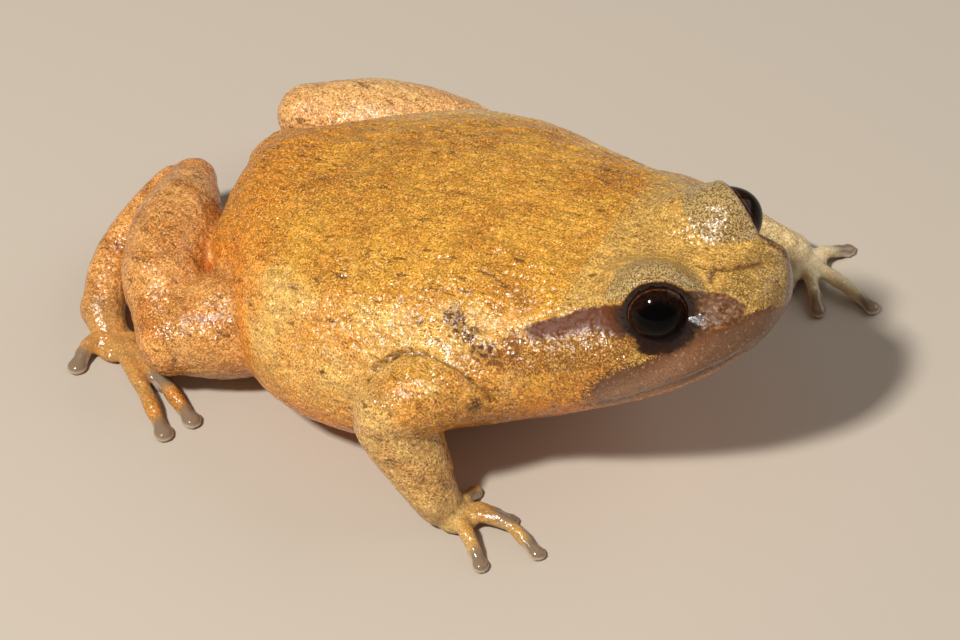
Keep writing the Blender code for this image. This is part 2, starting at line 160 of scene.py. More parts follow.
# Clusters of dark dots: x, y, z, radius, strength
SPOTS = [
    (1.4, -7.2, 10.6, 0.65, 1.0),
    (1.9, -7.5, 10.4, 0.5, 1.0),
    (2.7, -7.6, 10.2, 0.65, 0.9),
    (3.5, -7.9, 9.9, 0.7, 1.0),
    (4.1, -8.0, 9.8, 0.6, 1.0),
    (4.9, -7.3, 10.6, 0.6, 0.7),
    (5.3, -7.6, 10.3, 0.6, 0.7),
    (-0.9, -9.5, 8.6, 0.35, 1.0),
    (3.9, -9.6, 7.6, 0.55, 0.8),
    (-4.6, -10.8, 6.9, 0.25, 0.8),
    (-7.5, -6.5, 9.2, 0.3, 0.7),
    (1.6, 8.9, 8.8, 0.6, 0.9),
    (2.6, 9.2, 8.3, 0.7, 1.0),
    (4.4, 8.2, 9.0, 0.6, 0.8),
    (-5.2, 10.4, 6.6, 0.4, 0.8),
]

# Limbs: x, y, z, half width, half height
UPPER_ARM_RIGHT = [
    (3.4, -7.4, 7.1, 1.9, 1.9),
    (1.1, -9.7, 7.2, 2.1, 2.1),
    (-0.4, -10.8, 6.4, 2.0, 2.0),
]
FOREARM_RIGHT = [
    (-0.4, -10.9, 5.5, 2.0, 2.0),
    (0.6, -10.9, 3.9, 1.95, 1.95),
    (1.8, -11.2, 2.1, 1.5, 1.4),
    (2.5, -11.4, 1.3, 1.3, 1.0),
]
UPPER_ARM_LEFT = [
    (3.2, 6.6, 6.8, 2.3, 2.3),
    (4.2, 9.0, 5.6, 2.2, 2.2),
    (5.0, 10.8, 4.2, 2.0, 2.0),
]
FOREARM_LEFT = [
    (5.0, 11.0, 3.9, 2.0, 2.0),
    (7.2, 12.1, 2.7, 1.75, 1.75),
    (9.2, 13.2, 1.7, 1.25, 1.2),
    (10.2, 13.7, 1.15, 1.1, 0.95),
]
THIGH_RIGHT = [
    (-9.5, -3.2, 4.6, 3.1, 3.1),
    (-12.0, -6.6, 3.65, 3.2, 3.1),
    (-13.8, -8.6, 3.45, 2.65, 2.65),
    (-14.95, -9.85, 3.3, 1.85, 1.95),
]
SHANK_RIGHT = [
    (-15.8, -9.1, 3.7, 1.7, 1.8),
    (-17.3, -6.5, 4.2, 2.5, 2.4),
    (-18.7, -3.1, 4.3, 2.5, 2.4),
    (-20.1, 0.4, 4.1, 1.3, 1.4),
]
TARSUS_RIGHT = [
    (-21.0, -0.2, 3.8, 1.2, 1.2),
    (-21.6, -2.8, 3.0, 1.3, 1.25),
    (-21.7, -5.6, 2.0, 1.25, 1.2),
    (-20.9, -8.0, 1.25, 1.25, 1.0),
]
THIGH_LEFT = [
    (-9.0, 3.2, 4.6, 3.1, 3.1),
    (-8.2, 7.0, 3.9, 3.0, 3.0),
    (-7.2, 10.0, 3.2, 2.6, 2.6),
    (-6.4, 12.2, 2.6, 1.9, 1.9),
]
SHANK_LEFT = [
    (-7.0, 11.6, 2.6, 1.9, 1.9),
    (-10.2, 10.6, 3.5, 2.4, 2.4),
    (-13.8, 9.3, 4.1, 2.45, 2.35),
    (-17.5, 8.1, 3.9, 1.75, 1.8),
]
TARSUS_LEFT = [
    (-17.2, 9.2, 2.6, 1.3, 1.3),
    (-14.6, 11.4, 1.9, 1.35, 1.3),
    (-12.0, 13.0, 1.2, 1.3, 1.0),
]
LIMB_SIDES = 28
LIMB_RINGS = 24
BALL_SIDES = 48
BALL_RINGS = 32

# Hands and feet. Palm: x, y, half length, half width. Digits: x and y of the tip, sideways bow
PALM_HEIGHT = 0.62
HAND_RIGHT = (
    (3.4, -11.2, 1.25, 1.15),
    [(3.3, -9.2, 0), (5.9, -10.0, 0.1), (8.25, -11.25, 0.14), (6.1, -13.35, 0)],
)
HAND_LEFT = (
    (10.9, 13.8, 1.25, 1.15),
    [(10.9, 11.2, 0), (13.1, 11.15, 0), (15.55, 12.7, 0), (12.4, 16.0, 0)],
)
FOOT_RIGHT = (
    (-19.5, -9.2, 1.55, 1.2),
    [
        (-17.3, -8.4, 0),
        (-15.4, -10.4, 0.05),
        (-12.65, -11.9, 0.04),
        (-13.45, -13.4, 0.02),
        (-20.3, -11.5, -0.18),
    ],
)
FOOT_LEFT = (
    (-10.6, 13.7, 1.5, 1.1),
    [(-8.6, 12.2, 0), (-7.0, 13.6, 0), (-4.9, 14.8, 0), (-3.6, 16.2, 0), (-7.4, 16.4, 0)],
)
# Radius of a digit, and its disc's half length, half width and half height
FINGER = (0.39, (0.52, 0.46, 0.35))
TOE = (0.45, (0.62, 0.56, 0.38))

ARMS = [UPPER_ARM_RIGHT, FOREARM_RIGHT, UPPER_ARM_LEFT, FOREARM_LEFT]
LEGS = [THIGH_RIGHT, SHANK_RIGHT, TARSUS_RIGHT, THIGH_LEFT, SHANK_LEFT, TARSUS_LEFT]
HANDS = [(FOREARM_RIGHT[-1], HAND_RIGHT), (FOREARM_LEFT[-1], HAND_LEFT)]
FEET = [(TARSUS_RIGHT[-1], FOOT_RIGHT), (TARSUS_LEFT[-1], FOOT_LEFT)]
PAWS = HANDS + FEET

# How the skin is joined and smoothed, and the sizes of its relief
BODY_VOXEL = 0.25
BODY_SMOOTHING = 16
SKIN_VOXEL = 0.16
SKIN_SMOOTHING = 10
SKIN_TRIANGLES = 195000
LONGEST_EDGE = 0.28
DIGIT_SIDES = 14
LIMB_FADE = (0.05, 0.8)  # from a limb's surface, where its markings fade into the trunk's
PAW_TOP = (1.3, 2.6)  # the height at which the paws' colours end
PALM_FADE = (4.5, 7.5)  # how far from a palm's middle its colour ends
TIP_FADE = (0.45, 1.15)  # the same from a digit's tip
LID_SKIN = (2.35, 2.85)  # how far from the eye's centre the lids' colours end
SOCKET = (1.80, 2.22)  # the same for the dark round of the socket
BODY_ON_FLOOR = (-3.0, 11.5)  # x of the middle and radius of the round that holds no digits
RELIEF = {
    "Lump size": 1.8,
    "Lump height": 0.20,
    "Granule size": 0.6,
    "Granule height": 0.03,
    "Wrinkle spacing": 1.1,
    "Wrinkle length": 5.0,
    "Wrinkle depth": 0.07,
}
EYE_SIDES = 72
EYE_RINGS = 54
CORNEA_EDGE = 52.0  # degrees from the eye's axis

# The camera, from the same point as the tables: degrees and millimetres
CAMERA_AZIMUTH = 32.6
CAMERA_ELEVATION = 45.8
CAMERA_ROLL = -3.2
CAMERA_DISTANCE = 217.0
CAMERA_ASIDE = 1.5
CAMERA_RAISE = -2.25
PIXELS_PER_MM = 18.51  # at the origin, in a picture of this width
PICTURE_WIDTH = 960
SENSOR_WIDTH = 36.0

# Lamps, in metres and watts: place from the frog's middle as back, right and up in the camera's own
# directions, size, power, colour
FROG_MIDDLE = (0.004, 0.0, 0.006)
LAMPS = {
    "key": ((0.26, -0.13, 0.09), 0.03, 0.97, (1.0, 0.97, 0.92)),
    "fill": ((0.1, 0.35, 0.3), 0.35, 0.6, (1.0, 0.98, 0.95)),
}
ROOM_COLOUR = (1.0, 0.97, 0.93, 1)
ROOM_STRENGTH = 0.17
FLOOR_COLOUR = (0.54, 0.47, 0.39, 1)
FLOOR_SIZE = 1.5  # metres from its middle to a side


# Shapes


def in_metres(sizes):
    return {name: size * MM for name, size in sizes.items()}


def catmull_rom(before, start, end, after, t):
    """The smooth curve from start (t = 0) to end (t = 1), for rows of numbers."""
    return [
        0.5 * (2 * b + (c - a) * t + (2 * a - 5 * b + 4 * c - d) * t**2 + (3 * b - a - 3 * c + d) * t**3)
        for a, b, c, d in zip(before, start, end, after)
    ]


def smooth_rows(rows, count, first=None, last=None):
    """count rows on one smooth curve through the given ones. first and last steer its two ends."""
    first = first or [2 * a - b for a, b in zip(rows[0], rows[1])]
    last = last or [2 * a - b for a, b in zip(rows[-1], rows[-2])]
    padded = [first, *rows, last]
    spans = len(rows) - 1
    made = []
    for i in range(count):
        place = spans * i / (count - 1)
        k = min(int(place), spans - 1)
        made.append(catmull_rom(*padded[k : k + 4], place - k))
    return made


def mirrored(row):
    return (row[0], -row[1], *row[2:])


def section(centre, across, up, half_width, rise, drop, squareness, sides):
    """The points of one closed cross-section, whose upper and lower halves differ in height."""
    points = []
    for i in range(sides):
        angle = 2 * math.pi * i / sides
        c, s = math.cos(angle), math.sin(angle)
        reach = half_width * math.copysign(abs(c) ** (2 / squareness), c)
        height = (rise if s > 0 else drop) * math.copysign(abs(s) ** (2 / squareness), s)
        points.append(centre + across * reach + up * height)
    return points


def linked(name, data):
    """A new object in the scene, for a mesh, curve, lamp or lens."""
    made = bpy.data.objects.new(name, data)
    bpy.context.scene.collection.objects.link(made)
    return made


def object_of(name, shape):
    """A new object from a bmesh, which is freed."""
    mesh = bpy.data.meshes.new(name)
    shape.to_mesh(mesh)
    shape.free()
    return linked(name, mesh)


def mesh_object(name, shape):
    """An object from a bmesh in the tables' millimetres, its faces pointing out."""
    bmesh.ops.recalc_face_normals(shape, faces=shape.faces)
    bmesh.ops.translate(shape, vec=(ORIGIN_BACK, 0, 0), verts=shape.verts)
    bmesh.ops.scale(shape, vec=(MM, MM, MM), verts=shape.verts)
    return object_of(name, shape)


def skinned(sections, start_pole, end_pole):
    """A bmesh over a run of sections, closed at each end to a pole."""
    shape = bmesh.new()
    loops = [[shape.verts.new(p) for p in points] for points in sections]
    sides = len(loops[0])
    for one, two in zip(loops, loops[1:]):
        for i in range(sides):
            j = (i + 1) % sides
            shape.faces.new((one[i], one[j], two[j], two[i]))
    for loop, pole in ((loops[0], start_pole), (loops[-1], end_pole)):
        tip = shape.verts.new(pole)
        for i in range(sides):
            shape.faces.new((loop[i], loop[(i + 1) % sides], tip))
    return shape


def trunk():
    """Head and body in one smooth form, snout to vent."""
    tip, after_tip = TRUNK[0], TRUNK[1]
    vent, before_vent = TRUNK[-1], TRUNK[-2]
    first = [after_tip[0], 2 * tip[1] - after_tip[1], *(-v for v in after_tip[2:5]), *after_tip[5:]]
    last = [before_vent[0], 2 * vent[1] - before_vent[1], *(-v for v in before_vent[2:5]), *before_vent[5:]]
    rows = smooth_rows(TRUNK, TRUNK_RINGS, first, last)
    rings = [
        section(Vector((x, y, z)), Vector((0, 1, 0)), Vector((0, 0, 1)), w, rise, drop, square, TRUNK_SIDES)
        for x, z, w, rise, drop, square, y in rows[1:-1]
    ]
    return mesh_object("trunk", skinned(rings, (tip[0], 0, tip[1]), (vent[0], 0, vent[1])))


def limb(rows, rings=LIMB_RINGS):
    """A tube of oval section along a smooth line, with round ends."""
    rows = smooth_rows(rows, rings)
    centres = [Vector(r[:3]) for r in rows]
    sections = []
    ends = []
    for i, row in enumerate(rows):
        along = centres[min(i + 1, rings - 1)] - centres[max(i - 1, 0)]
        along.normalize()
        across = along.cross(Vector((0, 0, 1))).normalized()
        up = across.cross(along)
        sections.append(section(centres[i], across, up, row[3], row[4], row[4], 2, LIMB_SIDES))
        if i in (0, rings - 1):
            ends.append((centres[i], along, across, up, row[3], row[4]))
    poles = []
    for which, (centre, along, across, up, wide, high) in enumerate(ends):
        outward = -along if which == 0 else along
        caps = []
        for step in (1, 2, 3):
            angle = step * math.pi / 8
            shrink = math.cos(angle)
            middle = centre + outward * (wide * math.sin(angle))
            width, height = wide * shrink, high * shrink
            caps.append(section(middle, across, up, width, height, height, 2, LIMB_SIDES))
        sections = caps[::-1] + sections if which == 0 else sections + caps
        poles.append(centre + outward * wide)
    return mesh_object("limb", skinned(sections, *poles))


def ball(name, centre, radii, turn=None):
    shape = bmesh.new()
    bmesh.ops.create_uvsphere(shape, u_segments=BALL_SIDES, v_segments=BALL_RINGS, radius=1.0)
    place = Matrix.Translation(centre) @ (turn or Matrix.Identity(4)) @ Matrix.Diagonal(radii).to_4x4()
    bmesh.ops.transform(shape, matrix=place, verts=shape.verts)
    return mesh_object(name, shape)


def applied(target):
    """Turns a mesh object's modifiers into its own plain mesh."""
    bpy.context.view_layer.update()
    graph = bpy.context.evaluated_depsgraph_get()
    made = bpy.data.meshes.new_from_object(target.evaluated_get(graph))
    target.modifiers.clear()
    if target.type != "MESH":
        plain = linked(target.name, made)
        bpy.data.objects.remove(target, do_unlink=True)
        return plain
    old = target.data
    target.data = made
    bpy.data.meshes.remove(old)
    return target


def joined(name, pieces):
    """One object that holds the meshes of all the pieces, which are removed."""
    shape = bmesh.new()
    for piece in pieces:
        shape.from_mesh(piece.data)
        bpy.data.objects.remove(piece, do_unlink=True)
    return object_of(name, shape)


def fused(target, voxel):
    """Replaces overlapping closed shapes by one even surface round them all."""
    remesh = target.modifiers.new("fuse", "REMESH")
    remesh.mode = "VOXEL"
    remesh.voxel_size = voxel * MM
    return applied(target)


def softened(target, passes, group=""):
    smooth = target.modifiers.new("soften", "SMOOTH")
    smooth.factor = 0.5
    smooth.iterations = passes
    smooth.vertex_group = group
    return applied(target)


# Node trees


def fill(tree, node, values):
    """Gives a node's inputs, by name or number, a value or another node's output."""
    for key, value in values.items():
        if isinstance(value, bpy.types.NodeSocket):
            tree.links.new(value, node.inputs[key])
        else:
            node.inputs[key].default_value = value


def put(tree, kind, values=None, **settings):
    """Adds one node, with its settings and the values of its inputs."""
    made = tree.nodes.new(kind)
    for key, value in settings.items():
        setattr(made, key, value)
    fill(tree, made, values or {})
    return made


def math_node(tree, operation, *values):
    return put(tree, "ShaderNodeMath", dict(enumerate(values)), operation=operation).outputs[0]


def product(tree, *values):
    made = values[0]
    for value in values[1:]:
        made = math_node(tree, "MULTIPLY", made, value)
    return made


def one_over(tree, value):
    return math_node(tree, "DIVIDE", 1.0, value)


def vector_math(tree, operation, values):
    return put(tree, "ShaderNodeVectorMath", values, operation=operation).outputs[0]


def ramp(tree, value, low, high, to_low=0.0, to_high=1.0):
    """value from low..high to to_low..to_high, eased and held at both ends."""
    values = {"Value": value, "From Min": low, "From Max": high, "To Min": to_low, "To Max": to_high}
    return put(tree, "ShaderNodeMapRange", values, interpolation_type="SMOOTHSTEP").outputs[0]


def noise(tree, place, size, detail=2.0, roughness=0.5, distortion=0.0):
    """Noise with features of about size, in the units of place."""
    values = {"Vector": place, "Detail": detail, "Roughness": roughness, "Distortion": distortion}
    values["Scale"] = size if isinstance(size, bpy.types.NodeSocket) else 1.0 / size
    return put(tree, "ShaderNodeTexNoise", values).outputs[0]


def blended(tree, factor, one, two, blend="MIX"):
    """A colour between one and two."""
    settings = {"data_type": "RGBA", "blend_type": blend, "clamp_result": True}
    return put(tree, "ShaderNodeMix", {0: factor, 6: one, 7: two}, **settings).outputs[2]


def painted(tree, name):
    return put(tree, "ShaderNodeAttribute", attribute_name=name).outputs["Fac"]


def tree_with(kind, name, inputs, outputs):
    """A new node group, with its named inputs and outputs: the kind of socket, or a number to start from."""
    tree = bpy.data.node_groups.new(name, kind)
    for label, value in inputs.items():
        sort = value if isinstance(value, str) else type(value).__name__.capitalize()
        socket = tree.interface.new_socket(label, in_out="INPUT", socket_type="NodeSocket" + sort)
        if not isinstance(value, str):
            socket.default_value = value
    for label, sort in outputs.items():
        tree.interface.new_socket(label, in_out="OUTPUT", socket_type="NodeSocket" + sort)
    return tree, tree.nodes.new("NodeGroupInput").outputs, tree.nodes.new("NodeGroupOutput").inputs


def grown(target, tree, values):
    """Runs a geometry tree on an object with the given named inputs and keeps the plain mesh."""
    modifier = target.modifiers.new(tree.name, "NODES")
    modifier.node_group = tree
    for item in tree.interface.items_tree:
        if item.item_type == "SOCKET" and item.in_out == "INPUT" and item.name in values:
            modifier[item.identifier] = values[item.name]
    return applied(target)


def digit_tree():
    """Sweeps a round section along each line, knuckled and tapered, and ends it in a flat disc."""
    tree, given, result = tree_with(
        "GeometryNodeTree",
        "digit",
        {
            "Lines": "Geometry",
            "Radius": 0.0004,
            "Sides": DIGIT_SIDES,
            "Disc length": 0.0006,
            "Disc width": 0.0005,
            "Disc height": 0.0004,
            "Finish": "Material",
        },
        {"Digits": "Geometry"},
    )
    place = put(tree, "GeometryNodeSplineParameter").outputs["Factor"]
    shape = put(tree, "ShaderNodeFloatCurve", {"Value": place})
    curve = shape.mapping.curves[0]
    for x, y in ((0.3, 0.80), (0.45, 0.88), (0.6, 0.72), (0.75, 0.80), (0.9, 0.68)):
        curve.points.new(x, y)
    curve.points[0].location = (0.0, 1.0)
    curve.points[-1].location = (1.0, 0.7)
    shape.mapping.update()
    size = product(tree, shape.outputs[0], given["Radius"], 1.25)
    ring = put(tree, "GeometryNodeCurvePrimitiveCircle", {"Resolution": given["Sides"], "Radius": 1.0})
    sweep = put(
        tree,
        "GeometryNodeCurveToMesh",
        {"Curve": given["Lines"], "Profile Curve": ring.outputs["Curve"], "Scale": size, "Fill Caps": True},
    )
    ball_of_disc = put(tree, "GeometryNodeMeshUVSphere", {"Segments": 24, "Rings": 14, "Radius": 1.0})
    tips = put(tree, "GeometryNodeCurveEndpointSelection", {"Start Size": 0, "End Size": 1})
    heading = put(tree, "GeometryNodeInputTangent").outputs[0]
    turn = put(tree, "FunctionNodeAlignRotationToVector", {"Vector": heading}, axis="X", pivot_axis="Z")
    radii = put(
        tree,
        "ShaderNodeCombineXYZ",
        {"X": given["Disc length"], "Y": given["Disc width"], "Z": given["Disc height"]},
    )
    discs = put(
        tree,
        "GeometryNodeInstanceOnPoints",
        {
            "Points": given["Lines"],
            "Selection": tips.outputs[0],
            "Instance": ball_of_disc.outputs["Mesh"],
            "Rotation": turn.outputs[0],
            "Scale": radii.outputs[0],
        },
    )
    both = put(tree, "GeometryNodeJoinGeometry")
    tree.links.new(sweep.outputs[0], both.inputs[0])
    tree.links.new(discs.outputs[0], both.inputs[0])
    real = put(tree, "GeometryNodeRealizeInstances", {0: both.outputs[0]})
    finish = put(tree, "GeometryNodeSetMaterial", {"Geometry": real.outputs[0], "Material": given["Finish"]})
    tree.links.new(finish.outputs[0], result["Digits"])
    return tree


def relief_tree():
    """Raises soft lumps, round granules and long wrinkles over the skin, where it isn't held calm."""
    tree, given, result = tree_with(
        "GeometryNodeTree",
        "skin relief",
        {"Skin": "Geometry", "Finish": "Material", **in_metres(RELIEF)},
        {"Skin": "Geometry"},
    )
    place = put(tree, "GeometryNodeInputPosition").outputs[0]
    normal = put(tree, "GeometryNodeInputNormal").outputs[0]
    free, lined = (
        put(tree, "GeometryNodeInputNamedAttribute", {"Name": name}, data_type="FLOAT").outputs[0]
        for name in ("relief", "lined")
    )

    lumps = noise(tree, place, one_over(tree, given["Lump size"]), 1.5)
    lumps = product(tree, math_node(tree, "SUBTRACT", lumps, 0.5), given["Lump height"])

    cells = put(
        tree,
        "ShaderNodeTexVoronoi",
        {"Vector": place, "Scale": one_over(tree, given["Granule size"]), "Smoothness": 0.5},
        feature="SMOOTH_F1",
    ).outputs["Distance"]
    domes = product(tree, ramp(tree, cells, 0.65, 0.1), given["Granule height"])

    length, spacing = one_over(tree, given["Wrinkle length"]), one_over(tree, given["Wrinkle spacing"])
    stretch = put(tree, "ShaderNodeCombineXYZ", {"X": length, "Y": spacing, "Z": spacing}).outputs[0]
    lines = noise(tree, vector_math(tree, "MULTIPLY", {0: place, 1: stretch}), 1.0, 2.0, 0.5, 0.6)
    from_line = math_node(tree, "ABSOLUTE", math_node(tree, "SUBTRACT", lines, 0.5))
    creases = product(tree, ramp(tree, from_line, 0.0, 0.1, -1.0, 0.0), given["Wrinkle depth"], lined)

    height = product(tree, math_node(tree, "ADD", math_node(tree, "ADD", lumps, domes), creases), free)
    offset = vector_math(tree, "SCALE", {0: normal, "Scale": height})
    moved = put(tree, "GeometryNodeSetPosition", {"Geometry": given["Skin"], "Offset": offset})
    real = put(tree, "GeometryNodeRealizeInstances", {0: moved.outputs[0]})
    finish = put(tree, "GeometryNodeSetMaterial", {"Geometry": real.outputs[0], "Material": given["Finish"]})
    tree.links.new(finish.outputs[0], result["Skin"])
    return tree


# Effects that the materials share


def mottle_group():
    """Patches of noise: how many to the millimetre, how much they cover and how soft their edges are."""
    tree, given, result = tree_with(
        "ShaderNodeTree",
        "mottle",
        {"Place": "Vector", "Per mm": 1.0, "Detail": 2.0, "Threshold": 0.5, "Softness": 0.1},
        {"Mask": "Float"},
    )
    values = {"Vector": given["Place"], "Scale": given["Per mm"], "Detail": given["Detail"]}
    cloud = put(tree, "ShaderNodeTexNoise", {"Roughness": 0.6, **values}).outputs[0]
    low = math_node(tree, "SUBTRACT", given["Threshold"], given["Softness"])
    high = math_node(tree, "ADD", given["Threshold"], given["Softness"])
    tree.links.new(ramp(tree, cloud, low, high), result["Mask"])
    return tree


def granule_group():
    """Close-set round granules with fine grain over them, as a height, and the domes alone as a mask."""
    tree, given, result = tree_with(
        "ShaderNodeTree",
        "granules",
        {"Place": "Vector", "Per mm": 3.0, "Grain per mm": 11.0, "Grain": 0.3},
        {"Height": "Float", "Dome": "Float", "Grain": "Float"},
    )
    values = {"Vector": given["Place"], "Scale": given["Per mm"], "Randomness": 1.0}
    cells = put(tree, "ShaderNodeTexVoronoi", values, feature="F1")
    domes = ramp(tree, cells.outputs["Distance"], 0.75, 0.0)
    values = {"Vector": given["Place"], "Scale": given["Grain per mm"], "Detail": 1.0}
    grain = put(tree, "ShaderNodeTexNoise", values).outputs[0]
    height = math_node(tree, "ADD", domes, product(tree, grain, given["Grain"]))
    tree.links.new(height, result["Height"])
    tree.links.new(domes, result["Dome"])
    tree.links.new(grain, result["Grain"])
    return tree


def placed_group(tree, group, values):
    return put(tree, "ShaderNodeGroup", values, node_tree=group).outputs


def millimetres(tree):
    """The object's own coordinates, in millimetres."""
    place = put(tree, "ShaderNodeTexCoord").outputs["Object"]
    return put(tree, "ShaderNodeMapping", {"Vector": place, "Scale": (1000.0, 1000.0, 1000.0)}).outputs[0]


# Colours of the skin, its digits and the eyes
OCHRE = (0.76, 0.365, 0.045, 1)
OCHRE_DARK = (0.60, 0.245, 0.025, 1)
FLANK = (0.86, 0.49, 0.13, 1)
FLANK_ORANGE = (0.80, 0.35, 0.06, 1)
EDGE_ORANGE = (0.88, 0.26, 0.015, 1)
UNDERSIDE = (0.80, 0.26, 0.02, 1)
CROWN = (0.68, 0.38, 0.085, 1)
SNOUT = (0.44, 0.25, 0.06, 1)
STRIPE = (0.020, 0.008, 0.005, 1)
STRIPE_BROWN = (0.14, 0.030, 0.003, 1)
CHEEK = (0.25, 0.085, 0.015, 1)
LORES = (0.13, 0.048, 0.016, 1)
LORES_GOLD = (0.46, 0.23, 0.07, 1)
LIP = (0.15, 0.056, 0.021, 1)
LIP_GREY = (0.33, 0.17, 0.09, 1)
LIP_PALE = (0.52, 0.36, 0.24, 1)
GOLD = (0.92, 0.66, 0.26, 1)
LID_GREY = (0.56, 0.39, 0.15, 1)
LEG = (0.78, 0.43, 0.145, 1)
# PALE is painted light, laid on the left shank, the right forearm and the left hand
PALE = (1.0, 0.69, 0.31, 1)
LEG_BROWN = (0.27, 0.11, 0.03, 1)
SPECK = (0.12, 0.042, 0.010, 1)
FLECK = (1.0, 0.80, 0.36, 1)
DIGIT = (0.52, 0.34, 0.13, 1)
DIGIT_GREY = (0.58, 0.50, 0.33, 1)
DIGIT_TIP = (0.25, 0.175, 0.11, 1)
TIP_RIM_LIGHT = (0.72, 0.60, 0.46, 1)
PUPIL = (0.0012, 0.0010, 0.0010, 1)
IRIS = (0.006, 0.003, 0.002, 1)
IRIS_FLECK = (0.03, 0.010, 0.004, 1)
RING = (0.045, 0.013, 0.005, 1)
RING_FLECK = (0.19, 0.055, 0.018, 1)
EYE_EDGE = (0.010, 0.005, 0.003, 1)

# How many of each mark the skin has to the millimetre
GRANULES = 2.9
GRAIN = 10.5
CLOUDS = 0.34
LEG_MARKS = 0.9
DOT_CLUSTERS = 1.1
SPECKS = 2.0
SPOT_DOTS = 3.8
LIP_FLECKS = 5.0
LORES_FLECKS = 4.4
STRIPE_CLOUDS = 1.7
WET_PATCHES = 0.55
IRIS_FLECKS = 6.0
MARK_LENGTH = 0.35  # how the lengthwise marks are shrunk along x before they are drawn
BUMP_DEPTH = 0.00005  # metres

# Degrees from the eye's axis over which each zone of the ball fades into the next
PUPIL_EDGE = (30.0, 44.0)
RING_START = (55.0, 56.5)
RING_END = (58.0, 59.5)


def new_material(name):
    """A material, its node tree and its shader."""
    made = bpy.data.materials.new(name)
    made.use_nodes = True
    return made, made.node_tree, made.node_tree.nodes["Principled BSDF"]


